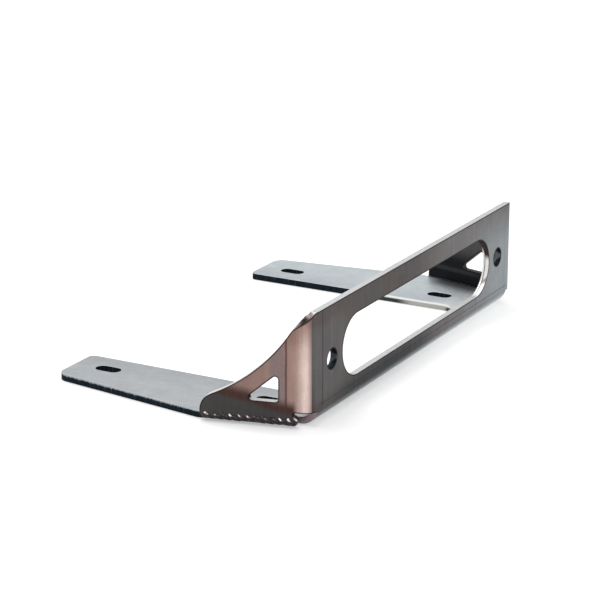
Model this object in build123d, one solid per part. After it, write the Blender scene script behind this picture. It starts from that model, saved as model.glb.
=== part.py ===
from build123d import *
import math
import os

# Folded sheet-metal winch bracket: one laser-cut blank folded three times, with a weld bead along each gusset.
# Drafting frame, millimetres: X runs across the bracket, Y rearwards from the face plate's front, Z up from
# the underside of the feet. The last step moves the origin to the middle of the bottom of the whole part.

# Sheet
sheet_t = 4.76               # thickness of the blank
fold_inner_r = 8.75          # inside radius of the fold along the bottom of the face plate
bend_inner_r = 4.75          # inside radius of the upright bend into each gusset
gusset_angle = 75.8          # degrees that each gusset is folded back from the face plate

# Face plate
plate_h = 76.0               # underside of the feet to the plate's top edge
plate_flat_w = 289.8         # flat width between the two upright bends
window_l = 224.8             # cable window, end to end
window_h = 41.2
fairlead_pitch = 254.0       # the two fairlead bolt holes
fairlead_hole_d = 13.0
window_axis_z = 40.0         # height of the window and of the fairlead holes

# Feet and the cross flange between them
foot_rear_y = 194.0          # face plate to the feet's rear ends
foot_inner_x = 108.0         # half of the open bay between the feet
foot_rear_w = 41.3           # width of a foot's rear end
foot_outer_corner_r = 8.5
foot_inner_corner_r = 4.5
flange_y = 22.0              # depth of the flange that joins the feet
flange_fillet_r = 12.5       # inside corner between the flange and a foot
toe_margin = 3.1             # foot left behind the gusset's rear end, where its taper starts
foot_slot_pitch_x = 254.0
foot_slot_front_y = 45.2
foot_slot_rear_margin = 25.8
foot_slot_w = 9.5
foot_slot_l = 18.4

# Gusset outline: distances run along the sheet from the end of the bend, heights from the feet's underside
gusset_l = 66.5
crown_lead = 2.5             # level top edge kept inside the bend, before the outline drops
crown_drop = 2.8             # drop of the outline half-way round the bend
edge_curl = 3.4              # how far bending has pushed the inside of this edge above its outside
brow_h = 68.0                # height of the brow, just past the bend
brow_s = 1.2
sweep_start_s = 7.3          # concave sweep from below the brow to the tail
sweep_start_h = 62.9
sweep_end_s = 58.0
sweep_end_h = 19.2
sweep_sag = 4.9              # how far the sweep dips below its chord
tail_toe_h = 6.4             # height where the rounded tail meets the rear end
relief_h = 10.4              # lower edge of the bend, over the open relief notch
relief_s = 5.4               # length of the notch along the gusset
relief_y = 14.6              # where the foot steps out to the gusset

# Triangular window in the gusset
tri_near_s = 15.0            # its upright side, from the end of the bend
tri_low_h = 16.8             # its level side
tri_far_s = 37.4             # where the sloping side would meet the level side
tri_top_h = 35.8             # where the sloping side would meet the upright side
tri_corner_r = 2.0

# Weld
root_gap = 0.3               # gap between the foot's edge and the gusset's inside face, filled by the bead
seat_gap = 0.4               # gap between the level of the foot's top and the gusset's lower edge
bead_r = 3.6                 # plain run of the bead
bead_out = 1.3               # bead's middle, outwards from the gusset's inside face
bead_h = 4.4                 # bead's middle, above the underside of the feet
ripple_h = 0.35              # how far each ripple stands out of the plain run
ripple_pitch = 5.4
ripple_w = 5.2               # thickness of a ripple, like a coin's
ripple_round = 1.6
ripple_lean = 32.0           # degrees that the ripples lean back
lump_r = 4.0                 # larger lump that closes the bead at the relief notch
bead_start_s = 6.4
bead_overrun = 0.6           # bead past the gusset's rear end

# Derived sizes
fold_outer_r = fold_inner_r + sheet_t
bend_outer_r = bend_inner_r + sheet_t
half_flat = plate_flat_w / 2
turn = math.radians(gusset_angle)
bend_l = bend_outer_r * turn
along = Vector(math.cos(turn), math.sin(turn), 0)
outward = Vector(math.sin(turn), -math.cos(turn), 0)
bend_end = Vector(half_flat + bend_outer_r * math.sin(turn), bend_outer_r * (1 - math.cos(turn)), 0)


def on_gusset(distance, depth, height=0.0):
    """Point at a distance along the gusset from the bend, at a depth behind its outer face."""
    return bend_end + along * distance - outward * depth + Vector(0, 0, height)


def on_bend(distance, depth, height):
    """Point in the upright bend; distance is measured along its outer face and ends at zero."""
    swing = turn + distance / bend_outer_r
    radius = bend_outer_r - depth
    return Vector(half_flat + radius * math.sin(swing), bend_outer_r - radius * math.cos(swing), height)


def sweep_arc():
    """Concave top edge of the gusset, as an arc through its two ends and its sag."""
    start = Vector(sweep_start_s, sweep_start_h)
    end = Vector(sweep_end_s, sweep_end_h)
    chord = end - start
    dip = Vector(chord.Y, -chord.X).normalized() * sweep_sag
    return ThreePointArc(start, (start + end) * 0.5 + dip, end)


def brow_curve():
    """Top edge from the plate, round the bend and over the brow to the start of the sweep."""
    crown_s = crown_lead - bend_l
    middle_s = -bend_l / 2
    points = [(crown_s, plate_h), (middle_s, plate_h - crown_drop), (brow_s, brow_h)]
    return Spline(*points, (sweep_start_s, sweep_start_h), tangents=[(1, -0.25), sweep_arc() % 0])


def above_brow():
    """Everything above the brow: its edge is ruled between an outside rim and a higher inside rim."""
    brow = brow_curve()
    samples = 20
    reach = 1.0
    rims = {-reach: [], sheet_t + reach: []}
    for index in range(samples + 1):
        share = index / samples
        point = brow @ share
        place = on_bend if point.X < 0 else on_gusset
        for depth, rim in rims.items():
            curl = edge_curl * math.sin(math.pi * share) ** 2 * depth / sheet_t
            rim.append(place(point.X, depth, point.Y + curl))
    outer_rim, inner_rim = (Spline(*rim) for rim in rims.values())
    return extrude(Face.make_surface_from_curves(outer_rim, inner_rim), amount=plate_h, dir=(0, 0, 1))


def face_plate():
    """Flat front with the cable window and the two fairlead holes."""
    front = Plane.XZ
    blank = Pos(0, (fold_outer_r + plate_h) / 2) * Rectangle(plate_flat_w, plate_h - fold_outer_r)
    cuts = Pos(0, window_axis_z) * SlotOverall(window_l, window_h)
    for side in (-1, 1):
        cuts += Pos(side * fairlead_pitch / 2, window_axis_z) * Circle(fairlead_hole_d / 2)
    return extrude(front * (blank - cuts), -sheet_t)


def bottom_fold():
    """Quarter-round fold under the face plate."""
    ring = Circle(fold_outer_r) - Circle(fold_inner_r)
    quarter = ring & Pos(-fold_outer_r / 2, -fold_outer_r / 2) * Rectangle(fold_outer_r, fold_outer_r)
    section = Plane(origin=(-half_flat, fold_outer_r, fold_outer_r), x_dir=(0, 1, 0), z_dir=(1, 0, 0))
    return extrude(section * quarter, plate_flat_w)


def base_half():
    """Half of the cross flange with its foot, cut as one outline."""
    edge_depth = sheet_t + root_gap
    step = on_gusset((relief_y - on_gusset(0, edge_depth).Y) / along.Y, edge_depth)
    toe = on_gusset(gusset_l + toe_margin, edge_depth)
    rear_outer = (foot_inner_x + foot_rear_w, foot_rear_y)
    rear_inner = (foot_inner_x, foot_rear_y)
    crotch = (foot_inner_x, flange_y)
    outline = Polyline(
        (0, fold_outer_r), (half_flat, fold_outer_r), (half_flat, relief_y), (step.X, step.Y), (toe.X, toe.Y),
        rear_outer, rear_inner, crotch, (0, flange_y), close=True)
    plan = make_face(outline)
    plan = fillet(plan.vertices().sort_by_distance(rear_outer)[0], foot_outer_corner_r)
    plan = fillet(plan.vertices().sort_by_distance(rear_inner)[0], foot_inner_corner_r)
    plan = fillet(plan.vertices().sort_by_distance(crotch)[0], flange_fillet_r)
    for slot_y in (foot_slot_front_y, foot_rear_y - foot_slot_rear_margin):
        plan -= Pos(foot_slot_pitch_x / 2, slot_y) * Rot(0, 0, 90) * SlotOverall(foot_slot_l, foot_slot_w)
    return extrude(plan, sheet_t)


def upright_bend():
    """Bend between the face plate and a gusset, still with a level top edge."""
    axis = (half_flat, bend_outer_r)
    ring = Circle(bend_outer_r) - Circle(bend_inner_r)
    sector_r = 2 * bend_outer_r
    corners = [(0, 0), (0, -sector_r), (sector_r, -sector_r)]
    corners.append((sector_r * math.sin(turn), -sector_r * math.cos(turn)))
    sector = ring & make_face(Polyline(*corners, close=True))
    return extrude(Pos(*axis, relief_h) * sector, plate_h - relief_h)


def gusset():
    """Flat gusset with its swept top edge, rounded tail and triangular window."""
    outer_face = Plane(origin=bend_end, x_dir=along, z_dir=outward)
    sweep = sweep_arc()
    low_h = sheet_t + seat_gap
    tail = Spline((sweep_end_s, sweep_end_h), (gusset_l, tail_toe_h), tangents=[sweep % 1, (0, -1)])
    rest = Polyline((gusset_l, tail_toe_h), (gusset_l, low_h), (relief_s, low_h), (relief_s, relief_h),
                    (0, relief_h), (0, plate_h), (sweep_start_s, plate_h), (sweep_start_s, sweep_start_h))
    plate = make_face(sweep + tail + rest)
    corners = [(tri_near_s, tri_low_h), (tri_far_s, tri_low_h), (tri_near_s, tri_top_h)]
    triangle = make_face(Polyline(*corners, close=True))
    plate -= fillet(triangle.vertices(), tri_corner_r)
    return extrude(outer_face * plate, -sheet_t)


def weld_bead(sheet):
    """Rippled bead in the open corner between the gusset's lower edge and the foot's edge."""
    run_l = gusset_l + bead_overrun - bead_start_s - ripple_w
    run = Plane(origin=on_gusset(bead_start_s, sheet_t - bead_out, bead_h), x_dir=outward, z_dir=along)
    bead = extrude(run * Circle(bead_r), run_l)
    bead += run * Sphere(lump_r)
    ripple = Cylinder(bead_r + ripple_h, ripple_w)
    ripple = fillet(ripple.edges().filter_by(GeomType.CIRCLE), ripple_round)
    for index in range(1, int(run_l / ripple_pitch) + 1):
        bead += run * Pos(0, 0, index * ripple_pitch) * Rot(ripple_lean, 0, 0) * ripple
    inside = Plane(origin=on_gusset(0, sheet_t + root_gap), x_dir=along, z_dir=outward)
    over = Plane(origin=on_gusset(0, sheet_t / 2, sheet_t + seat_gap), x_dir=along, z_dir=outward)
    reach = gusset_l + 4 * bead_r
    bead -= extrude(inside * Rectangle(2 * reach, 2 * reach), -reach)
    bead -= extrude(over * (Pos(0, reach / 2) * Rectangle(2 * reach, reach)), -reach)
    return bead - sheet


half = base_half() + (upright_bend() + gusset() - above_brow())
bracket = face_plate() + bottom_fold() + half + mirror(half, about=Plane.YZ)
right_bead = weld_bead(bracket)
pieces = {
    "bracket_sheet": bracket,
    "right_weld_bead": right_bead,
    "left_weld_bead": mirror(right_bead, about=Plane.YZ),
}

os.makedirs("parts", exist_ok=True)
for node, shape in pieces.items():
    export_step(Pos(0, -foot_rear_y / 2, 0) * shape, f"parts/{node}.step")
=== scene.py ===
import math
from types import SimpleNamespace

import bmesh
import bpy
import numpy as np
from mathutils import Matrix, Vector
from mathutils.geometry import delaunay_2d_cdt


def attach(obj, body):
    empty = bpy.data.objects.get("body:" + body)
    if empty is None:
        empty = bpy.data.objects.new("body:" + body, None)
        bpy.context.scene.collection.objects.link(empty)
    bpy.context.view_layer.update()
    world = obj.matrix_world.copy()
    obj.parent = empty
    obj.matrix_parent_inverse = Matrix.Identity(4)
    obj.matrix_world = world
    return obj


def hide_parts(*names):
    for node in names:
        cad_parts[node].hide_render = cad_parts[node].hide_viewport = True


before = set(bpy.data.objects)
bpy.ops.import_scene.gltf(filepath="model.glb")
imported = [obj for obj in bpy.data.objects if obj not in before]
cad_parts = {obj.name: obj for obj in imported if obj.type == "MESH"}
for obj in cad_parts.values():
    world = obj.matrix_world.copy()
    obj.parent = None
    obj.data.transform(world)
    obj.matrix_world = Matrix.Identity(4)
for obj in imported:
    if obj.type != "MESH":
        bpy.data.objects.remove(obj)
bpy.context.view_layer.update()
scene = bpy.context.scene
scene.view_settings.view_transform = "Standard"

# ---------------------------------------------------------------------------------------------
# Camera
# A long lens, a little above the bracket and well round to its left end.
# ---------------------------------------------------------------------------------------------
lens = bpy.data.cameras.new("camera")
lens.sensor_width = 36.0
lens.lens = 138.47
lens.clip_end = 100.0
camera = bpy.data.objects.new("camera", lens)
camera.location = (-1.3375, -0.7351, 0.5140)
camera.rotation_euler = (math.radians(72.345), 0.0, math.radians(-61.36))
scene.collection.objects.link(camera)
scene.camera = camera

# ---------------------------------------------------------------------------------------------
# Bracket sheet
# One laser-cut blank of 4.76 mm steel plate, folded back along the bottom of its face and at both
# ends. It is drawn flat, by distances along its outer face, and then wrapped round the folds.
# ---------------------------------------------------------------------------------------------
mm = 0.001
sheet_t = 4.76
plate_top = 76.0
half_depth = 97.0
fold_r = 13.51                  # outside of the fold along the bottom
bend_r = 9.51                   # outside of the bend at each end
bend_turn = math.radians(75.8)
bend_start = 144.9
flange_rear = 22.0
foot_inner_x = 108.0
foot_outer_x = 149.3
foot_rear = 194.0
foot_gap = 0.3                  # between the foot's outer edge and the gusset's inner face
gusset_low = 5.16               # height of the gusset's lower edge, just off the foot
gusset_l = 66.5
sweep_top = (7.3, 62.9)         # where the gusset's long sweep leaves the crown
sweep_foot = (58.0, 19.2)
sweep_sag = 4.9
crown_lead = 2.5                # round the bend before the top edge is pushed up
crown_push = 3.4
bolt_x = 127.0                  # the feet's slots and the fairlead holes share one pitch
slot_places = (45.2, 168.2)
slot_half_w = 4.75
slot_half_l = 9.2
fairlead_r = 6.5
window_axis = 40.0
window_half_l = 112.4
window_half_h = 20.6
rim_r = 0.3                     # easing of every cut edge
corner_r = 0.8
edge_line_w = 1.1                  # width of the dark line beside a cut edge
map_scale = 0.01                # the sheet's two UV maps are in units of 100 mm

bend_l = bend_r * bend_turn
gusset_start = bend_start + bend_l
fold_l = fold_r * math.pi / 2
foot_zero = 2 * fold_r - fold_l
gusset_root_x = bend_start + bend_r * math.sin(bend_turn)
gusset_root_y = bend_r * (1 - math.cos(bend_turn)) - half_depth


def foot_point(x, y):
    """Point of the flat blank for a place on the feet or the flange."""
    return (x, foot_zero - y)


def gusset_point(distance, height):
    """Point of the flat blank for a place on the gusset, from the end of the bend."""
    return (gusset_start + distance, height)


def foot_edge(distance):
    """Point of the flat blank on the foot's outer edge, along the gusset that it is welded to."""
    edge_depth = bend_r - sheet_t - foot_gap
    x = bend_start + edge_depth * math.sin(bend_turn) + distance * math.cos(bend_turn)
    y = bend_r - edge_depth * math.cos(bend_turn) + distance * math.sin(bend_turn)
    return foot_point(x, y)


def rounded_outline(corners, step=6.0):
    """Closed outline through corners given as x, y and radius, with arcs of a few degrees a step."""
    outline = []
    count = len(corners)
    for index in range(count):
        corner = Vector(corners[index][:2])
        radius = corners[index][2]
        before = (Vector(corners[index - 1][:2]) - corner).normalized()
        after = (Vector(corners[(index + 1) % count][:2]) - corner).normalized()
        if radius == 0:
            outline.append(tuple(corner))
            continue
        spread = before.angle(after)
        middle = corner + (before + after).normalized() * radius / math.sin(spread / 2)
        start = corner + before * radius / math.tan(spread / 2) - middle
        end = corner + after * radius / math.tan(spread / 2) - middle
        sweep = start.angle_signed(end)
        pieces = max(2, round(math.degrees(abs(sweep)) / step))
        for piece in range(pieces + 1):
            turn = -sweep * piece / pieces
            x = start.x * math.cos(turn) - start.y * math.sin(turn)
            y = start.x * math.sin(turn) + start.y * math.cos(turn)
            outline.append((middle.x + x, middle.y + y))
    return outline


def bezier(start, pull_out, pull_in, end, steps):
    """Points of a smooth edge of the gusset, without its first one."""
    points = []
    for index in range(steps):
        t = (index + 1) / steps
        weights = ((1 - t) ** 3, 3 * t * (1 - t) ** 2, 3 * t * t * (1 - t), t ** 3)
        pulls = list(zip(weights, (start, pull_out, pull_in, end)))
        points.append(gusset_point(sum(w * c[0] for w, c in pulls), sum(w * c[1] for w, c in pulls)))
    return points


def arc_through(start, end, sag, steps):
    """Points of the gusset's arc that dips below its chord by the sag, without its first point."""
    start = Vector(start)
    end = Vector(end)
    chord = (end - start).length
    radius = chord * chord / (8 * sag) + sag / 2
    across = Vector((end.y - start.y, start.x - end.x)).normalized()
    middle = (start + end) / 2 + across * (radius - sag)
    half = math.asin(chord / 2 / radius)
    points = []
    for index in range(steps):
        turn = half - 2 * half * (index + 1) / steps
        swing = (end - start).normalized() * radius * math.sin(turn)
        points.append(gusset_point(*(middle - across * radius * math.cos(turn) - swing)))
    return points


# Half of the blank, from the middle of the flange round to the middle of the plate's top edge
bottom = foot_zero - flange_rear
half_outline = rounded_outline([
    (0.0, bottom, 0.0),
    (foot_inner_x, bottom, 12.5),
    (*foot_point(foot_inner_x, foot_rear), 4.5),
    (*foot_point(foot_outer_x, foot_rear), 8.5),
    (*foot_edge(69.6), 3.0),
    (*foot_edge(6.38), corner_r),
    (*foot_point(bend_start, 14.6), corner_r),
    (bend_start, 10.4, corner_r),
    (*gusset_point(5.4, 10.4), corner_r),
    (*gusset_point(5.4, gusset_low), corner_r),
    (*gusset_point(gusset_l, gusset_low), 0.5),
    (*gusset_point(gusset_l, 6.4), 0.0),
])
half_outline += bezier((gusset_l, 6.4), (gusset_l, 12.68), (63.74, 16.63), sweep_foot, 10)
half_outline += arc_through(sweep_foot, sweep_top, sweep_sag, 16)
half_outline += bezier(sweep_top, (5.87, 65.12), (3.61, 66.57), (1.2, 68.0), 6)
half_outline += bezier((1.2, 68.0), (-1.4, 69.54), (-4.17, 71.08), (-6.29, 73.2), 8)
half_outline += bezier((-6.29, 73.2), (-8.1, 75.03), (-8.57, 75.62), (-10.08, plate_top), 6)
half_outline.append((0.0, plate_top))
outline = half_outline + [(-u, v) for u, v in reversed(half_outline[1:-1])]


def round_hole(u, v, radius, steps=40):
    """Round hole as a closed outline."""
    turns = [2 * math.pi * index / steps for index in range(steps)]
    return [(u + radius * math.cos(turn), v + radius * math.sin(turn)) for turn in turns]


def slotted_hole(u, v, half_w, half_h):
    """Slot with round ends, longer one way than the other."""
    radius = min(half_w, half_h) - 0.001
    corners = [(u - half_w, v - half_h), (u + half_w, v - half_h)]
    corners += [(u + half_w, v + half_h), (u - half_w, v + half_h)]
    return rounded_outline([(*corner, radius) for corner in corners])


holes = [slotted_hole(0.0, window_axis, window_half_l, window_half_h)]
for side in (-1, 1):
    holes.append(round_hole(side * bolt_x, window_axis, fairlead_r))
    for slot_y in slot_places:
        holes.append(slotted_hole(*foot_point(side * bolt_x, slot_y), slot_half_w, slot_half_l))
    corners = [(15.0, 16.8), (37.4, 16.8), (15.0, 35.8)]
    triangle = rounded_outline([(*gusset_point(*corner), 2.0) for corner in corners], 12.0)
    holes.append([(side * u, v) for u, v in triangle][::side])


def fold_lines():
    """Lines across the blank where it starts, follows and ends a fold."""
    lines = []
    for index in range(19):
        v = fold_r - fold_l * index / 18
        lines.append(((-bend_start - 3.0, v), (bend_start + 3.0, v)))
    for side in (-1, 1):
        for index in range(21):
            u = side * (bend_start + bend_l * index / 20)
            lines.append(((u, 9.0), (u, plate_top + 2.0)))
    return lines


def out_of_metal(points):
    """Unit directions out of the metal, and how far a point moves for its two sides to move by one."""
    ahead = np.roll(points, -1, axis=0) - points
    ahead /= np.linalg.norm(ahead, axis=1)[:, None]
    behind = np.roll(ahead, 1, axis=0)
    middle = ahead + behind
    middle /= np.linalg.norm(middle, axis=1)[:, None]
    stretch = 1.0 / np.clip(np.sum(middle * ahead, axis=1), 0.3, 1.0)
    return np.stack([middle[:, 1], -middle[:, 0]], axis=1) * stretch[:, None]


def cut_blank():
    """Triangles of the blank inside its outline and outside its holes."""
    points = []
    edges = []
    faces = []
    for loop in [outline] + holes:
        faces.append(list(range(len(points), len(points) + len(loop))))
        points += [Vector(point) for point in loop]
    for start, end in fold_lines():
        edges.append((len(points), len(points) + 1))
        points += [Vector(start), Vector(end)]
    for loop in [outline] + holes:
        size = len(loop)
        edges += [(len(points) + index, len(points) + (index + 1) % size) for index in range(size)]
        width = -edge_line_w if loop is outline else edge_line_w
        loop = np.array(loop)
        points += [Vector(point) for point in loop + out_of_metal(loop) * width]
    result = delaunay_2d_cdt(points, edges, faces, 0, 1e-5)
    kept = [face for face, inside in zip(result[2], result[5]) if list(inside) == [0]]
    used = sorted({point for face in kept for point in face})
    place = {point: index for index, point in enumerate(used)}
    corners = np.array([tuple(result[0][point]) for point in used])
    return corners, [tuple(place[point] for point in face) for face in kept]


def wrap(flat, depth):
    """Places in the bracket for points of the blank, at a depth behind its outer face."""
    u = np.abs(flat[:, 0])
    v = flat[:, 1]
    past = np.clip(fold_r - v, 0.0, fold_l)
    lean = past / fold_r
    tail = np.clip(fold_r - v - fold_l, 0.0, None)
    fold_y = np.where(v >= fold_r, depth, fold_r - (fold_r - depth) * np.cos(lean) + tail)
    fold_z = np.where(v >= fold_r, v, fold_r - (fold_r - depth) * np.sin(lean))
    round_bend = np.clip(u - bend_start, 0.0, bend_l)
    swing = round_bend / bend_r
    run = np.clip(u - gusset_start, 0.0, None)
    wing_x = bend_start + (bend_r - depth) * np.sin(swing) + run * math.cos(bend_turn)
    wing_y = bend_r - (bend_r - depth) * np.cos(swing) + run * math.sin(bend_turn)
    on_wing = (u > bend_start) & (v > 0.0)
    ease = np.where(on_wing, np.clip(1.0 - round_bend / 2.5, 0.0, 1.0), 1.0)
    low = on_wing & (v < fold_r)
    x = np.where(on_wing, wing_x, u) * np.sign(flat[:, 0])
    y = np.where(on_wing, wing_y + np.where(low, (fold_y - depth) * ease, 0.0), fold_y)
    z = np.where(on_wing, v + np.where(low, (fold_z - v) * ease, 0.0), fold_z)
    return np.stack([x, y - half_depth, z], axis=1)


def curled(flat, depth):
    """The blank's points after bending has pushed its top edge up on the inside of the bend."""
    u = np.abs(flat[:, 0])
    crown_l = gusset_start + sweep_top[0] - bend_start - crown_lead
    share = np.clip((u - bend_start - crown_lead) / crown_l, 0.0, 1.0)
    near_top = flat[:, 1] > 60.0
    push = np.where(near_top, crown_push * np.sin(math.pi * share) ** 2 * depth / sheet_t, 0.0)
    raised = np.minimum(flat[:, 1] + push, np.maximum(flat[:, 1], plate_top - rim_r))
    return np.stack([flat[:, 0], raised], axis=1)


def edge_loops(triangles):
    """Loops of points along the blank's cut edges, with the metal on their left."""
    sides = {(face[index - 1], face[index]) for face in triangles for index in range(3)}
    onward = {start: end for start, end in sides if (end, start) not in sides}
    loops = []
    while onward:
        start, point = onward.popitem()
        loop = [start]
        while point != start:
            loop.append(point)
            point = onward.pop(point)
        loops.append(loop)
    return loops


def face_normals(flat, depth):
    """Directions out of the sheet's face at points of the blank."""
    outward = wrap(flat, 0.0) - wrap(flat, 1.0)
    return outward if depth == 0.0 else -outward


def folded_mesh(name):
    """The blank with its thickness and eased rims, wrapped round its folds."""
    corners, triangles = cut_blank()
    loops = edge_loops(triangles)

    # the two faces, drawn in by the rim
    count = len(corners)
    flat = corners.copy()
    for loop in loops:
        flat[loop] -= out_of_metal(corners[loop]) * rim_r
    places = [wrap(curled(flat, depth), depth) for depth in (0.0, sheet_t)]
    normals = [face_normals(flat, depth) for depth in (0.0, sheet_t)]
    maps = [flat, flat]
    cut = [np.zeros(2 * count)]
    edge_line_mask = [np.zeros(2 * count)]
    for loop in loops:
        edge_line_mask[0][loop] = 1.0
        edge_line_mask[0][np.array(loop) + count] = 1.0
    faces = list(triangles)
    faces += [tuple(point + count for point in reversed(face)) for face in triangles]
    edge_maps = [(0.0, 0.0)] * (6 * len(triangles))

    # rows of points across a cut edge: round the outer rim, straight through, and round the inner rim
    steps = [math.radians(turn) for turn in (22.5, 45.0, 67.5, 90.0)]
    rows = [(rim_r * (1 - math.sin(turn)), rim_r * (1 - math.cos(turn))) for turn in steps]
    rows += [(inset, sheet_t - depth) for inset, depth in reversed(rows)]
    total = 2 * count
    for loop in loops:
        size = len(loop)
        edge = corners[loop]
        outward = out_of_metal(edge)
        lengths = np.linalg.norm(np.roll(edge, -1, axis=0) - edge, axis=1)
        run = np.concatenate([[0.0], np.cumsum(lengths)])
        grid = [places[0][loop]]
        grid += [wrap(curled(edge - outward * inset, depth), depth) for inset, depth in rows]
        grid.append(places[1][loop])
        grid = np.array(grid)
        along = np.roll(grid, -1, axis=1) - np.roll(grid, 1, axis=1)
        across = np.roll(grid, -1, axis=0) - np.roll(grid, 1, axis=0)
        bulge = np.cross(across, along)[1:-1]
        bulge /= np.linalg.norm(bulge, axis=2)[:, :, None]
        indices = [np.array(loop)]
        depths = [0.0]
        for row, (inset, depth) in enumerate(rows):
            places.append(grid[row + 1])
            normals.append(bulge[row])
            maps.append(edge + outward * (depth + rim_r))
            cut.append(np.full(size, 1.0 - inset / rim_r))
            edge_line_mask.append(np.ones(size))
            indices.append(np.arange(total, total + size))
            depths.append(depth)
            total += size
        indices.append(np.array(loop) + count)
        depths.append(sheet_t)
        for row in range(len(indices) - 1):
            here = indices[row]
            deeper = indices[row + 1]
            for i in range(size):
                following = (i + 1) % size
                faces.append((here[i], deeper[i], deeper[following], here[following]))
                edge_maps += [(run[i], depths[row]), (run[i], depths[row + 1])]
                edge_maps += [(run[i + 1], depths[row + 1]), (run[i + 1], depths[row])]

    # one mesh, with masks and maps for its material
    mesh = bpy.data.meshes.new(name)
    mesh.from_pydata((np.concatenate(places) * mm).tolist(), [], faces)
    mask = mesh.attributes.new("cut_edge", "FLOAT", "POINT")
    mask.data.foreach_set("value", np.concatenate(cut))
    mask = mesh.attributes.new("by_the_cut", "FLOAT", "POINT")
    mask.data.foreach_set("value", np.concatenate(edge_line_mask))
    blank_map = mesh.uv_layers.new(name="blank")
    edge_map = mesh.uv_layers.new(name="edge")
    corner_points = np.zeros(len(mesh.loops), dtype=np.int32)
    mesh.loops.foreach_get("vertex_index", corner_points)
    blank_map.data.foreach_set("uv", (np.concatenate(maps) * map_scale)[corner_points].ravel())
    edge_map.data.foreach_set("uv", (np.array(edge_maps) * map_scale).ravel())
    mesh.shade_smooth()
    mesh.normals_split_custom_set_from_vertices(np.concatenate(normals).tolist())
    mesh.validate()
    return mesh


sheet_mesh = folded_mesh("bracket_sheet_folded")
sheet = bpy.data.objects.new("folded_sheet", sheet_mesh)
scene.collection.objects.link(sheet)
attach(sheet, "root")
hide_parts("bracket_sheet")


def add_node(tree, kind, *inputs, out=0, **settings):
    """Adds a node, sets or wires its inputs in order, and gives back one of its outputs."""
    node = tree.nodes.new(kind)
    for name, value in settings.items():
        setattr(node, name, value)
    for index, value in enumerate(inputs):
        if isinstance(value, bpy.types.NodeSocket):
            tree.links.new(value, node.inputs[index])
        elif value is not None:
            node.inputs[index].default_value = value
    return node.outputs[out]


def calc(tree, operation, *inputs):
    """One Math node."""
    return add_node(tree, "ShaderNodeMath", *inputs, operation=operation)


def fade(tree, value, start, end):
    """0 before the start, 1 past the end and smooth between them; the end may be the smaller one."""
    return add_node(tree, "ShaderNodeMapRange", value, start, end, 0.0, 1.0,
                    interpolation_type="SMOOTHSTEP")


def near(tree, value, middle, half_width, soft):
    """1 where the value is near the middle, fading to 0 at its two sides."""
    distance = calc(tree, "ABSOLUTE", calc(tree, "SUBTRACT", value, middle))
    return fade(tree, distance, half_width + soft, half_width)


def both(tree, *masks):
    """Where all masks hold."""
    result = masks[0]
    for mask in masks[1:]:
        result = calc(tree, "MULTIPLY", result, mask)
    return result


def blend(tree, share, first, second):
    """Mix of two colours."""
    node = tree.nodes.new("ShaderNodeMix")
    node.data_type = "RGBA"
    for socket, value in ((node.inputs[0], share), (node.inputs[6], first), (node.inputs[7], second)):
        if isinstance(value, bpy.types.NodeSocket):
            tree.links.new(value, socket)
        elif isinstance(value, tuple):
            socket.default_value = (*value, 1.0)
        else:
            socket.default_value = value
    return node.outputs[2]


def noise(tree, coordinates, scale, detail, roughness=0.6):
    """Noise between 0 and 1."""
    return add_node(tree, "ShaderNodeTexNoise", coordinates, None, scale, detail, roughness)


def streaks(tree, coordinates, across, along, detail):
    """Noise drawn out into streaks, around zero."""
    stretched = add_node(tree, "ShaderNodeMapping", coordinates, None, None, (across, along, 1.0))
    return calc(tree, "SUBTRACT", noise(tree, stretched, 1.0, detail), 0.5)


def new_group(name, inputs, outputs):
    """Shader node group with named inputs and outputs, with its two end nodes."""
    group = bpy.data.node_groups.new(name, "ShaderNodeTree")
    for label, kind in inputs:
        group.interface.new_socket(label, in_out="INPUT", socket_type=kind)
    for label, kind in outputs:
        group.interface.new_socket(label, in_out="OUTPUT", socket_type=kind)
    return group, group.nodes.new("NodeGroupInput"), group.nodes.new("NodeGroupOutput")


def weld_heat_group():
    """Where a point is by the weld, in mm: along the gusset, above its lower edge, behind its outside."""
    outputs = [(label, "NodeSocketFloat") for label in ("Along", "Above", "Behind")]
    group, given, result = new_group("weld_heat", [("Position", "NodeSocketVector")], outputs)
    place = add_node(group, "ShaderNodeSeparateXYZ", given.outputs["Position"]).node.outputs
    x = calc(group, "SUBTRACT", calc(group, "ABSOLUTE", place[0]), gusset_root_x * mm)
    y = calc(group, "SUBTRACT", place[1], gusset_root_y * mm)
    ahead_by_x = calc(group, "MULTIPLY", x, math.cos(bend_turn))
    ahead_by_y = calc(group, "MULTIPLY", y, math.sin(bend_turn))
    back_by_x = calc(group, "MULTIPLY", x, math.sin(bend_turn))
    back_by_y = calc(group, "MULTIPLY", y, math.cos(bend_turn))
    measures = {
        "Along": calc(group, "ADD", ahead_by_x, ahead_by_y),
        "Above": calc(group, "SUBTRACT", place[2], gusset_low * mm),
        "Behind": calc(group, "SUBTRACT", back_by_y, back_by_x),
    }
    for label, metres in measures.items():
        group.links.new(calc(group, "MULTIPLY", metres, 1 / mm), result.inputs[label])
    return group


weld_heat = weld_heat_group()


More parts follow.
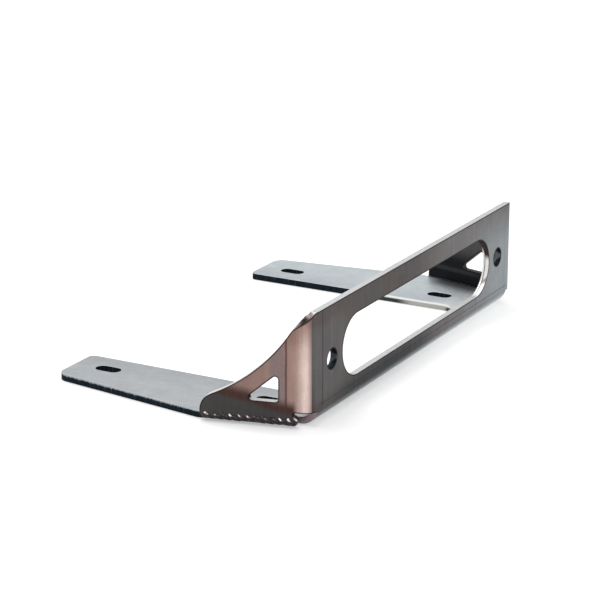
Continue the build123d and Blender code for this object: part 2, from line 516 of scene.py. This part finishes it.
def sheet_places(tree):
    """Where a point lies on the blank and by the weld, in mm, and the noises that break up the colours."""
    at = SimpleNamespace()
    blank = add_node(tree, "ShaderNodeUVMap", uv_map="blank")
    flat = add_node(tree, "ShaderNodeSeparateXYZ", blank).node.outputs
    at.signed_u = calc(tree, "MULTIPLY", flat[0], 1 / map_scale)
    at.u = calc(tree, "ABSOLUTE", at.signed_u)
    at.v = calc(tree, "MULTIPLY", flat[1], 1 / map_scale)

    at.position = add_node(tree, "ShaderNodeTexCoord", out="Object")
    heat = tree.nodes.new("ShaderNodeGroup")
    heat.node_tree = weld_heat
    tree.links.new(at.position, heat.inputs["Position"])
    at.along = heat.outputs["Along"]
    at.above = heat.outputs["Above"]
    at.behind = heat.outputs["Behind"]

    edge = add_node(tree, "ShaderNodeUVMap", uv_map="edge")
    edge_depth = add_node(tree, "ShaderNodeSeparateXYZ", edge).node.outputs[1]
    at.depth = calc(tree, "MULTIPLY", edge_depth, 1 / map_scale)
    at.ragged = calc(tree, "ADD", streaks(tree, edge, 150.0, 12.0, 3.0), 0.5)

    at.slow = calc(tree, "SUBTRACT", noise(tree, at.position, 45.0, 1.0, 0.5), 0.5)
    at.wander = calc(tree, "SUBTRACT", noise(tree, at.position, 90.0, 3.0), 0.5)
    at.speck = calc(tree, "SUBTRACT", noise(tree, at.position, 900.0, 2.0), 0.5)
    at.fine = streaks(tree, blank, 180.0, 4.0, 4.0)
    at.broad = streaks(tree, blank, 24.0, 1.5, 2.0)

    # The feet's paler colour also runs up the lower half of the fold, as a painted reflection of the floor.
    at.foot = calc(tree, "MULTIPLY_ADD", at.broad, 0.12, fade(tree, at.v, 11.0, 2.0))
    at.gusset = both(tree, fade(tree, at.u, 146.6, 154.4), fade(tree, at.v, 0.0, 4.0))
    at.outside = fade(tree, at.behind, 2.6, 1.9)
    at.plate_and_gusset = fade(tree, at.v, 12.0, 14.0)
    return at


def face_colour(tree, at):
    """Face plate: darkest low on the left, as painted shade, and paler to the right, as a painted
    reflection.
    """
    brown_grey = (0.102, 0.092, 0.093)
    warm_grey = (0.112, 0.092, 0.085)
    middle_left_grey = (0.122, 0.115, 0.114)
    painted_shade_grey = (0.055, 0.057, 0.060)
    painted_reflection_grey = (0.178, 0.168, 0.170)
    painted_reflection_pale = (0.310, 0.338, 0.354)
    patches = fade(tree, noise(tree, at.position, 28.0, 2.0, 0.5), 0.35, 0.65)
    colour = blend(tree, patches, brown_grey, warm_grey)
    # paler grey across the middle height of the left end
    middle_left = both(tree, fade(tree, at.signed_u, -98.0, -116.0), near(tree, at.v, 42.0, 20.0, 9.0))
    colour = blend(tree, middle_left, colour, middle_left_grey)
    # painted shade: darker low on the face, towards the fold, on the left
    low = both(tree, fade(tree, at.v, 24.0, 13.0), fade(tree, at.signed_u, 80.0, 0.0))
    painted_shade_low_left = both(tree, low, fade(tree, at.signed_u, -132.0, -92.0))
    colour = blend(tree, painted_shade_low_left, colour, painted_shade_grey)
    # painted reflection of the white floor: the face paler to the right, and palest low on the right and
    # down the fold
    colour = blend(tree, fade(tree, at.signed_u, -22.0, 50.0), colour, painted_reflection_grey)
    painted_reflection_low_right = both(tree, fade(tree, at.signed_u, 30.0, 145.0), fade(tree, at.v, 82.0, 40.0))
    return blend(tree, painted_reflection_low_right, colour, painted_reflection_pale)


def foot_colour(tree, at):
    """Feet and cross flange: mill grey, paler outwards and to the right, with painted light at the front."""
    inner_left = (0.395, 0.415, 0.430)
    inner_right = (0.480, 0.520, 0.545)
    outer_left = (0.440, 0.460, 0.475)
    outer_right = (0.545, 0.590, 0.615)
    painted_light_front_pale = (0.80, 0.83, 0.84)
    rightwards = fade(tree, at.signed_u, -150.0, 150.0)
    inner_side = blend(tree, rightwards, inner_left, inner_right)
    outer_side = blend(tree, rightwards, outer_left, outer_right)
    colour = blend(tree, fade(tree, at.u, 106.0, 138.0), inner_side, outer_side)
    # painted light: paler at the front, against the shade of the gussets and the bends
    front = both(tree, fade(tree, at.v, -44.0, -14.0), fade(tree, at.signed_u, -70.0, 100.0))
    return blend(tree, front, colour, painted_light_front_pale)


def over_gussets(tree, at, colour):
    """Lays the gussets' colours over the sheet's: coppery outside, partly painted warm light; a painted
    highlight over the bend; painted shade inside.
    """
    copper_by_bend = (0.292, 0.192, 0.164)
    copper_by_tail = (0.235, 0.153, 0.135)
    copper_band = (0.200, 0.148, 0.142)
    copper_top = (0.226, 0.138, 0.118)
    bend_highlight_colour = (0.60, 0.47, 0.43)
    inside_top = (0.074, 0.074, 0.072)
    inside_low = (0.016, 0.017, 0.019)
    inside_line = (0.040, 0.042, 0.046)
    # The coppery outside is partly the scale's own brown and partly painted warm light from the left, which
    # the outsides face.
    copper = blend(tree, fade(tree, at.along, 6.0, 40.0), copper_by_bend, copper_by_tail)
    copper = blend(tree, near(tree, at.along, 15.0, 3.0, 5.0), copper, copper_band)
    copper = blend(tree, fade(tree, at.v, 48.0, 62.0), copper, copper_top)
    # painted highlight down the bend, fading out towards the top
    over_bend = both(tree, fade(tree, at.u, 148.8, 154.0), fade(tree, at.along, 5.0, -3.0))
    bend_highlight = both(tree, over_bend, fade(tree, at.v, 77.0, 42.0))
    copper = blend(tree, bend_highlight, copper, bend_highlight_colour)
    colour = blend(tree, both(tree, at.gusset, at.outside), colour, copper)
    # painted shade on the gussets' insides, darkest low down by the foot, with a lighter line across it
    inside_shade = blend(tree, fade(tree, at.v, 34.0, 20.0), inside_top, inside_low)
    low_line = both(tree, near(tree, at.v, 14.5, 0.8, 1.6), fade(tree, at.along, 10.0, 30.0))
    inside_shade = blend(tree, low_line, inside_shade, inside_line)
    return blend(tree, both(tree, at.gusset, calc(tree, "SUBTRACT", 1.0, at.outside)), colour, inside_shade)


def over_weld_heat(tree, at, colour):
    """Soot and painted shade on the foot behind the weld; grey scale low on the gusset, and a rust-brown
    fringe over it.
    """
    soot_and_shade_grey = (0.06, 0.062, 0.066)
    rust_brown = (0.056, 0.029, 0.025)
    grey_scale = (0.050, 0.048, 0.047)
    # soot from the weld, with painted shade along the gusset's foot
    soot_and_shade = both(tree, at.foot, fade(tree, at.behind, 24.0, 8.0), near(tree, at.v, -38.0, 12.0, 14.0))
    colour = blend(tree, calc(tree, "MULTIPLY", soot_and_shade, 0.8), colour, soot_and_shade_grey)
    border = calc(tree, "MULTIPLY_ADD", at.along, 0.20, 2.6)
    height = calc(tree, "SUBTRACT", calc(tree, "MULTIPLY_ADD", at.slow, 7.0, at.above), border)
    hot = both(tree, at.gusset, at.outside, fade(tree, at.along, 2.5, 6.0))
    colour = blend(tree, both(tree, hot, fade(tree, height, 11.0, 3.0)), colour, rust_brown)
    return blend(tree, both(tree, hot, fade(tree, height, 2.0, -2.0)), colour, grey_scale)


def over_die_marks(tree, at, colour):
    """Dark lines that the folding dies leave beside the bends and along the bottom fold."""
    die_black = (0.03, 0.03, 0.03)
    die_brown = (0.075, 0.028, 0.026)
    by_bend = both(tree, near(tree, at.u, 139.6, 0.45, 0.7), at.plate_and_gusset,
                   fade(tree, at.signed_u, 220.0, -60.0))
    colour = blend(tree, calc(tree, "MULTIPLY", by_bend, 0.62), colour, die_black)
    by_fold = both(tree, near(tree, at.v, 14.5, 0.15, 0.35), fade(tree, at.u, 145.0, 144.0))
    colour = blend(tree, calc(tree, "MULTIPLY", by_fold, 0.55), colour, die_black)
    ragged_u = calc(tree, "MULTIPLY_ADD", at.wander, 1.2, at.u)
    on_gusset = both(tree, near(tree, ragged_u, gusset_start + 9.9, 0.3, 0.7), at.plate_and_gusset,
                     at.outside)
    return blend(tree, calc(tree, "MULTIPLY", on_gusset, 0.75), colour, die_brown)


def over_grain(tree, at, colour):
    """Brushed grain all over, and a dark line along each cut edge."""
    edge_line_dark = (0.018, 0.012, 0.013)
    shade = calc(tree, "MULTIPLY_ADD", at.fine, 0.42, 1.0)
    broad_share = calc(tree, "MULTIPLY_ADD", at.foot, -0.2, 0.28)
    shade = calc(tree, "MULTIPLY_ADD", at.broad, broad_share, shade)
    shade = calc(tree, "MULTIPLY_ADD", at.wander, 0.3, shade)
    shade = calc(tree, "MULTIPLY_ADD", at.speck, 0.3, shade)
    colour = add_node(tree, "ShaderNodeVectorMath", colour, None, None, shade, operation="SCALE")
    by_cut = add_node(tree, "ShaderNodeAttribute", attribute_name="by_the_cut", out="Fac")
    by_cut = fade(tree, calc(tree, "MULTIPLY_ADD", at.wander, 0.3, by_cut), 0.1, 0.5)
    edge_line_share = both(tree, by_cut, fade(tree, at.foot, 0.6, 0.2))
    return blend(tree, calc(tree, "MULTIPLY", edge_line_share, 0.85), colour, edge_line_dark)


def foot_edge_colour(tree, at):
    """Cut edges facing sideways: blue-black drag lines, partly painted shade; pale dross low on the feet's
    outer edges.
    """
    blue_black = (0.006, 0.011, 0.016)
    drag_grey = (0.040, 0.048, 0.055)
    dross_grey = (0.30, 0.33, 0.36)
    inner_grey = (0.40, 0.39, 0.37)
    inner_shade_grey = (0.035, 0.045, 0.042)
    inner_pale = (0.85, 0.85, 0.84)
    fold_end_pink = (0.26, 0.20, 0.21)
    # painted shade: edges that face sideways stay blue-black, while those facing up take painted light
    colour = blend(tree, fade(tree, at.ragged, 0.5, 0.75), blue_black, drag_grey)
    low_edge = fade(tree, calc(tree, "MULTIPLY_ADD", at.ragged, 2.6, at.depth), 4.9, 5.4)
    dross = both(tree, at.foot, fade(tree, at.u, 134.0, 138.0), low_edge)
    colour = blend(tree, dross, colour, dross_grey)
    foot_side = both(tree, fade(tree, at.v, -98.0, -74.0), fade(tree, at.u, 112.0, 110.0),
                     fade(tree, at.v, 0.0, -8.0))
    colour = blend(tree, foot_side, colour, inner_grey)
    # painted shade in stretches along the feet's inner edges
    inner_shade_stretches = calc(tree, "MAXIMUM", fade(tree, at.v, -52.0, -66.0), near(tree, at.v, -22.5, 1.5, 3.0))
    inner_shade_stretches = both(tree, foot_side, inner_shade_stretches, fade(tree, at.depth, 3.6, 2.4))
    colour = blend(tree, inner_shade_stretches, colour, inner_shade_grey)
    colour = blend(tree, both(tree, foot_side, fade(tree, at.depth, 2.8, 3.8)), colour, inner_pale)
    # the fold's end is pinkish: partly its rusty cut face, partly painted warm light like the gussets'
    # outsides
    fold_end = both(tree, near(tree, at.v, 1.0, 10.0, 1.5), near(tree, at.u, bend_start, 5.0, 1.0))
    return blend(tree, fold_end, colour, fold_end_pink)


def over_top_edges(tree, at, colour):
    """Cut edges that face up: painted light, whitest at the gusset's tail, and scorched round the bend."""
    lit_edge_low = (0.55, 0.56, 0.56)
    lit_edge_high = (0.68, 0.68, 0.68)
    lit_tail_white = (0.86, 0.86, 0.86)
    scorch_dark = (0.03, 0.022, 0.02)
    scorch_pale = (0.32, 0.25, 0.23)
    painted_light = blend(tree, fade(tree, at.ragged, 0.3, 0.7), lit_edge_low, lit_edge_high)
    tail = both(tree, near(tree, at.u, 218.0, 24.0, 4.0), fade(tree, at.v, 46.0, 36.0))
    painted_light = blend(tree, tail, painted_light, lit_tail_white)
    round_bend = both(tree, fade(tree, at.u, bend_start + 3.0, bend_start + 7.0),
                      fade(tree, at.u, gusset_start + 7.0, gusset_start + 3.0))
    scorched = blend(tree, fade(tree, at.wander, -0.1, 0.15), scorch_dark, scorch_pale)
    painted_light = blend(tree, round_bend, painted_light, scorched)
    # only the edges facing up take the painted light, and not those round the fairlead holes
    normal = add_node(tree, "ShaderNodeTexCoord", out="Normal")
    upward = fade(tree, add_node(tree, "ShaderNodeSeparateXYZ", normal, out="Z"), 0.3, 0.8)
    fairlead = both(tree, near(tree, at.u, bolt_x, 10.0, 1.0), fade(tree, at.v, 70.0, 60.0))
    upward = calc(tree, "MULTIPLY", upward, calc(tree, "SUBTRACT", 1.0, fairlead))
    return blend(tree, upward, colour, painted_light)


def over_hole_edges(tree, at, colour):
    """Cut edges in the face: painted highlights as streaks in the window's right end, and as grey lines in
    the bores.
    """
    browned_edge = (0.040, 0.025, 0.020)
    black_edge = (0.014, 0.016, 0.018)
    streak_highlight = (0.80, 0.79, 0.77)
    bore_highlight_grey = (0.105, 0.115, 0.125)
    triangle_grey = (0.045, 0.045, 0.045)
    window_end = both(tree, fade(tree, at.signed_u, 92.0, 100.0), fade(tree, at.u, 115.0, 114.0),
                      near(tree, at.v, window_axis, 21.5, 0.5))
    # painted highlights: streaks down the window's right end, across the middle, by the inner rim and low
    # down
    middle_streak = both(tree, near(tree, at.v, 36.0, 4.5, 5.0), near(tree, at.depth, 1.5, 0.9, 0.9))
    inner_streak = both(tree, near(tree, at.depth, 4.0, 0.4, 0.4), fade(tree, at.v, 50.0, 44.0))
    low_streak = both(tree, fade(tree, at.v, 30.0, 25.0), near(tree, at.depth, 1.6, 1.1, 0.5))
    highlight_streaks = calc(tree, "MAXIMUM", calc(tree, "MAXIMUM", middle_streak, inner_streak), low_streak)
    browned = blend(tree, fade(tree, at.v, 50.0, 56.0), browned_edge, black_edge)
    colour = blend(tree, window_end, colour, blend(tree, highlight_streaks, browned, streak_highlight))
    # painted highlight: a grey line half-way down each fairlead's bore
    bore_highlight = both(tree, near(tree, at.u, bolt_x, 7.5, 0.5), near(tree, at.v, 39.6, 0.7, 1.2))
    colour = blend(tree, bore_highlight, colour, bore_highlight_grey)
    under_sweep = fade(tree, calc(tree, "MULTIPLY_ADD", at.along, 0.85, at.v), 53.0, 51.5)
    triangle = both(tree, fade(tree, at.along, 12.0, 13.5), fade(tree, at.v, 14.5, 15.5), under_sweep)
    right_triangle = both(tree, triangle, fade(tree, at.signed_u, 0.0, 1.0))
    return blend(tree, right_triangle, colour, triangle_grey)


def sheet_material():
    """Hot-rolled steel: brown-grey face, coppery gussets, pale feet, blue-black laser-cut edges, and painted
    light and shade.
    """
    material = bpy.data.materials.new("folded_steel")
    material.use_nodes = True
    tree = material.node_tree
    steel = tree.nodes["Principled BSDF"]
    at = sheet_places(tree)
    surface = blend(tree, at.foot, face_colour(tree, at), foot_colour(tree, at))
    for finish in (over_gussets, over_weld_heat, over_die_marks, over_grain):
        surface = finish(tree, at, surface)
    edge = foot_edge_colour(tree, at)
    for finish in (over_top_edges, over_hole_edges):
        edge = finish(tree, at, edge)
    cut = add_node(tree, "ShaderNodeAttribute", attribute_name="cut_edge", out="Fac")
    colour = blend(tree, fade(tree, cut, 0.55, 0.95), surface, edge)
    tree.links.new(colour, steel.inputs["Base Color"])
    steel.inputs["Metallic"].default_value = 0.75
    steel.inputs["Specular IOR Level"].default_value = 0.15
    steel.inputs["Specular Tint"].default_value = (0.5, 0.5, 0.5, 1.0)
    tree.links.new(calc(tree, "MULTIPLY_ADD", at.fine, 0.25, 0.42), steel.inputs["Roughness"])
    bump = tree.nodes.new("ShaderNodeBump")
    bump.inputs["Strength"].default_value = 0.25
    bump.inputs["Distance"].default_value = 0.0001
    tree.links.new(at.fine, bump.inputs["Height"])
    tree.links.new(bump.outputs["Normal"], steel.inputs["Normal"])
    return material


sheet_mesh.materials.append(sheet_material())

# ---------------------------------------------------------------------------------------------
# Weld beads
# One run of weld metal along each gusset, laid from outside into the open corner between the
# gusset's lower edge and the foot. Each puddle has frozen as a leaning ripple over the last one.
# ---------------------------------------------------------------------------------------------
bead_out = -3.46                # middle of the bead, from the gusset's outer face
bead_up = 4.8
seat_back = -5.11               # the bead's limits against the sheet
seat_top = 5.21
seat_bottom = 0.15
notch_end = 6.0                 # the gusset's lower edge starts here


def weld_tree():
    """Geometry Nodes: a tube along the corner, swollen into leaning ripples and pressed to the sheet."""
    tree = bpy.data.node_groups.new("weld_bead", "GeometryNodeTree")
    for label, kind, value in (
            ("Start", "NodeSocketFloat", 2.6),
            ("Length", "NodeSocketFloat", 64.2),
            ("Radius", "NodeSocketFloat", 3.3),
            ("Ripple Height", "NodeSocketFloat", 0.6),
            ("Ripple Pitch", "NodeSocketFloat", 5.4),
            ("Ripple Lean", "NodeSocketFloat", 0.55),
            ("Side", "NodeSocketFloat", 1.0),
            ("Seed", "NodeSocketInt", 3),
            ("Weld Metal", "NodeSocketMaterial", None)):
        socket = tree.interface.new_socket(label, in_out="INPUT", socket_type=kind)
        if value is not None:
            socket.default_value = value
    tree.interface.new_socket("Geometry", in_out="OUTPUT", socket_type="NodeSocketGeometry")
    given = tree.nodes.new("NodeGroupInput").outputs
    result = tree.nodes.new("NodeGroupOutput")

    # a flat grid: one way along the bead, the other way round it
    grid = add_node(tree, "GeometryNodeMeshGrid", 1.0, 1.0, 260, 64)
    place = add_node(tree, "ShaderNodeSeparateXYZ", add_node(tree, "GeometryNodeInputPosition")).node.outputs
    run = calc(tree, "MULTIPLY", calc(tree, "ADD", place[0], 0.5), given["Length"])
    round_way = calc(tree, "MULTIPLY", place[1], 2 * math.pi)
    turn = calc(tree, "SUBTRACT", round_way, math.pi / 4)

    # ripples: each has its own height, and they fade out where the bead meets the sheet
    spot = add_node(tree, "ShaderNodeCombineXYZ", run, given["Seed"], given["Side"])
    sway = calc(tree, "SUBTRACT", add_node(tree, "ShaderNodeTexNoise", spot, None, 0.21, 2.0), 0.5)
    lean = calc(tree, "MULTIPLY", round_way, given["Ripple Lean"])
    phase = calc(tree, "SUBTRACT", calc(tree, "DIVIDE", run, given["Ripple Pitch"]), lean)
    phase = calc(tree, "ADD", phase, calc(tree, "MULTIPLY", sway, 0.9))
    off_middle = calc(tree, "SUBTRACT", calc(tree, "MULTIPLY", calc(tree, "FRACT", phase), 2.0), 1.0)
    crest = calc(tree, "SUBTRACT", 1.0, calc(tree, "POWER", calc(tree, "ABSOLUTE", off_middle), 2.3))
    random = tree.nodes.new("FunctionNodeRandomValue")
    random.data_type = "FLOAT"
    random.inputs[2].default_value = 0.7
    random.inputs[3].default_value = 1.25
    tree.links.new(calc(tree, "FLOOR", phase), random.inputs["ID"])
    tree.links.new(given["Seed"], random.inputs["Seed"])
    shown = fade(tree, calc(tree, "ABSOLUTE", round_way), math.radians(140.0), math.radians(105.0))
    own_height = calc(tree, "MULTIPLY", crest, random.outputs[1])
    height = calc(tree, "MULTIPLY", calc(tree, "MULTIPLY", own_height, given["Ripple Height"]), shown)

    # a lump where the arc was struck, and rounded ends
    from_start = calc(tree, "DIVIDE", calc(tree, "SUBTRACT", run, 3.2), 3.0)
    from_start = calc(tree, "MULTIPLY", from_start, from_start)
    lump = calc(tree, "EXPONENT", calc(tree, "MULTIPLY", from_start, -1.0))
    radius = calc(tree, "ADD", given["Radius"], height)
    radius = calc(tree, "ADD", radius, calc(tree, "MULTIPLY", lump, 0.3))
    to_end = calc(tree, "MINIMUM", run, calc(tree, "SUBTRACT", given["Length"], run))
    to_end = calc(tree, "MINIMUM", calc(tree, "DIVIDE", to_end, 3.6), 1.0)
    nose = calc(tree, "SUBTRACT", 1.0, to_end)
    nose = calc(tree, "SQRT", calc(tree, "SUBTRACT", 1.0, calc(tree, "MULTIPLY", nose, nose)))
    radius = calc(tree, "MULTIPLY", radius, nose)

    # the tube's section, held below the gusset's lower edge and above the floor
    middle_out = calc(tree, "MULTIPLY_ADD", sway, 0.5, bead_out)
    out = calc(tree, "MULTIPLY_ADD", calc(tree, "COSINE", turn), radius, middle_out)
    up = calc(tree, "MULTIPLY_ADD", calc(tree, "SINE", turn), radius, bead_up)
    station = calc(tree, "ADD", run, given["Start"])
    past_notch = calc(tree, "GREATER_THAN", station, notch_end)
    beside = calc(tree, "MULTIPLY", past_notch, calc(tree, "LESS_THAN", out, 0.0))
    held = calc(tree, "MULTIPLY", beside, calc(tree, "MINIMUM", up, seat_top))
    free = calc(tree, "MULTIPLY", calc(tree, "SUBTRACT", 1.0, beside), up)
    up = calc(tree, "MAXIMUM", calc(tree, "ADD", held, free), seat_bottom)
    out = calc(tree, "MAXIMUM", out, seat_back)

    # its place beside the gusset, in metres
    x = calc(tree, "MULTIPLY_ADD", out, math.sin(bend_turn), gusset_root_x)
    x = calc(tree, "MULTIPLY_ADD", station, math.cos(bend_turn), x)
    y = calc(tree, "MULTIPLY_ADD", out, -math.cos(bend_turn), gusset_root_y)
    y = calc(tree, "MULTIPLY_ADD", station, math.sin(bend_turn), y)
    there = add_node(tree, "ShaderNodeCombineXYZ", calc(tree, "MULTIPLY", x, given["Side"]), y, up)
    there = add_node(tree, "ShaderNodeVectorMath", there, None, None, mm, operation="SCALE")
    crest = calc(tree, "MULTIPLY", crest, shown)
    named = add_node(tree, "GeometryNodeStoreNamedAttribute", grid, True, "crest", crest,
                     data_type="FLOAT", domain="POINT")
    moved = add_node(tree, "GeometryNodeSetPosition", named, True, there)
    merged = add_node(tree, "GeometryNodeMergeByDistance", moved, True, 0.00002)
    real = add_node(tree, "GeometryNodeRealizeInstances", merged)
    done = add_node(tree, "GeometryNodeSetMaterial", real, True, given["Weld Metal"])
    tree.links.new(done, result.inputs["Geometry"])
    return tree


def weld_material():
    """Weld metal: blue-black oxide in the valleys, painted glints on the crests, with a straw tinge between,
    partly painted sheen.
    """
    valley_black = (0.016, 0.016, 0.024)
    valley_brown = (0.045, 0.036, 0.040)
    straw_and_sheen_tinge = (0.13, 0.085, 0.07)
    crest_glint = (0.85, 0.78, 0.73)
    material = bpy.data.materials.new("weld_metal")
    material.use_nodes = True
    tree = material.node_tree
    metal = tree.nodes["Principled BSDF"]
    crest = add_node(tree, "ShaderNodeAttribute", attribute_name="crest", out="Fac")
    position = add_node(tree, "ShaderNodeTexCoord", out="Object")
    height = add_node(tree, "ShaderNodeSeparateXYZ", position, out="Z")
    speckle = noise(tree, position, 900.0, 4.0)
    patchy = noise(tree, position, 240.0, 3.0)
    # painted glints and a straw sheen, held to the upper part of the bead where the light falls
    high = both(tree, fade(tree, height, 4.2 * mm, 5.6 * mm), fade(tree, height, 9.0 * mm, 7.6 * mm))
    some = fade(tree, calc(tree, "MULTIPLY_ADD", speckle, 0.3, patchy), 0.60, 0.74)
    straw_and_sheen = both(tree, fade(tree, crest, 0.72, 0.95), fade(tree, patchy, 0.40, 0.55), high)
    painted_light = both(tree, fade(tree, crest, 0.90, 0.99), some, high)
    colour = blend(tree, fade(tree, speckle, 0.35, 0.7), valley_black, valley_brown)
    colour = blend(tree, straw_and_sheen, colour, straw_and_sheen_tinge)
    colour = blend(tree, painted_light, colour, crest_glint)
    tree.links.new(colour, metal.inputs["Base Color"])
    metal.inputs["Metallic"].default_value = 0.8
    metal.inputs["Roughness"].default_value = 0.34
    bump = tree.nodes.new("ShaderNodeBump")
    bump.inputs["Strength"].default_value = 0.3
    bump.inputs["Distance"].default_value = 0.0002
    tree.links.new(speckle, bump.inputs["Height"])
    tree.links.new(bump.outputs["Normal"], metal.inputs["Normal"])
    return material


weld_metal = weld_material()
bead_tree = weld_tree()
sockets = {item.name: item.identifier for item in bead_tree.interface.items_tree if item.in_out == "INPUT"}
for node, side, seed in (("left_weld_bead", -1.0, 3), ("right_weld_bead", 1.0, 8)):
    holder = bpy.data.objects.new(node + "_source", bpy.data.meshes.new(node + "_source"))
    scene.collection.objects.link(holder)
    laying = holder.modifiers.new("weld", "NODES")
    laying.node_group = bead_tree
    laying[sockets["Side"]] = side
    laying[sockets["Seed"]] = seed
    laying[sockets["Weld Metal"]] = weld_metal
    bpy.context.view_layer.update()
    evaluated = holder.evaluated_get(bpy.context.evaluated_depsgraph_get())
    bead_mesh = bpy.data.meshes.new_from_object(evaluated)
    bpy.data.objects.remove(holder)
    shell = bmesh.new()
    shell.from_mesh(bead_mesh)
    bmesh.ops.recalc_face_normals(shell, faces=shell.faces)
    shell.to_mesh(bead_mesh)
    shell.free()
    bead_mesh.shade_smooth()
    bead = bpy.data.objects.new(node.replace("weld_bead", "weld"), bead_mesh)
    scene.collection.objects.link(bead)
    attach(bead, "root")
    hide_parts(node)

# ---------------------------------------------------------------------------------------------
# Studio
# White floor and surroundings, one wide soft lamp overhead, and a small soft one by the lens.
# ---------------------------------------------------------------------------------------------
floor_half = 6.0
floor_z = -0.0002


def background_rays(tree):
    """1 for rays that reach the background from the camera, or by way of metal or glass."""
    path = tree.nodes.new("ShaderNodeLightPath").outputs
    mirrored = calc(tree, "MAXIMUM", path["Is Glossy Ray"], path["Is Transmission Ray"])
    return calc(tree, "MAXIMUM", path["Is Camera Ray"], mirrored)


floor_mesh = bpy.data.meshes.new("floor")
floor_corners = [(x * floor_half, y * floor_half, floor_z) for x, y in ((-1, -1), (1, -1), (1, 1), (-1, 1))]
floor_mesh.from_pydata(floor_corners, [], [(0, 1, 2, 3)])
floor = bpy.data.objects.new("floor", floor_mesh)
scene.collection.objects.link(floor)
paper = bpy.data.materials.new("white_paper")
paper.use_nodes = True
paper_tree = paper.node_tree
sheet_of_paper = paper_tree.nodes["Principled BSDF"].inputs
sheet_of_paper["Base Color"].default_value = (0.9, 0.9, 0.9, 1.0)
sheet_of_paper["Roughness"].default_value = 0.9
sheet_of_paper["Specular IOR Level"].default_value = 0.1
sheet_of_paper["Emission Color"].default_value = (1.0, 1.0, 1.0, 1.0)
glow = calc(paper_tree, "MULTIPLY", background_rays(paper_tree), 0.34)
paper_tree.links.new(glow, sheet_of_paper["Emission Strength"])
floor_mesh.materials.append(paper)

world = bpy.data.worlds.new("studio")
world.use_nodes = True
scene.world = world
surround = world.node_tree.nodes["Background"].inputs
surround["Color"].default_value = (1.0, 1.0, 1.0, 1.0)
glow = calc(world.node_tree, "MULTIPLY_ADD", background_rays(world.node_tree), 0.45, 0.55)
world.node_tree.links.new(glow, surround["Strength"])


def soft_lamp(name, place, aim, width, height, power):
    """Rectangular soft lamp turned towards a point."""
    light = bpy.data.lights.new(name, "AREA")
    light.shape = "RECTANGLE"
    light.size = width
    light.size_y = height
    light.energy = power
    lamp = bpy.data.objects.new(name, light)
    lamp.location = place
    lamp.rotation_euler = (Vector(aim) - Vector(place)).to_track_quat("-Z", "Y").to_euler()
    scene.collection.objects.link(lamp)


soft_lamp("overhead", (0.3, 0.4, 1.9), (0.0, 0.0, 0.0), 2.4, 2.4, 26.0)
soft_lamp("by_the_lens", (-1.55, -0.75, 0.22), (-0.15, -0.08, 0.04), 0.25, 0.4, 5.0)
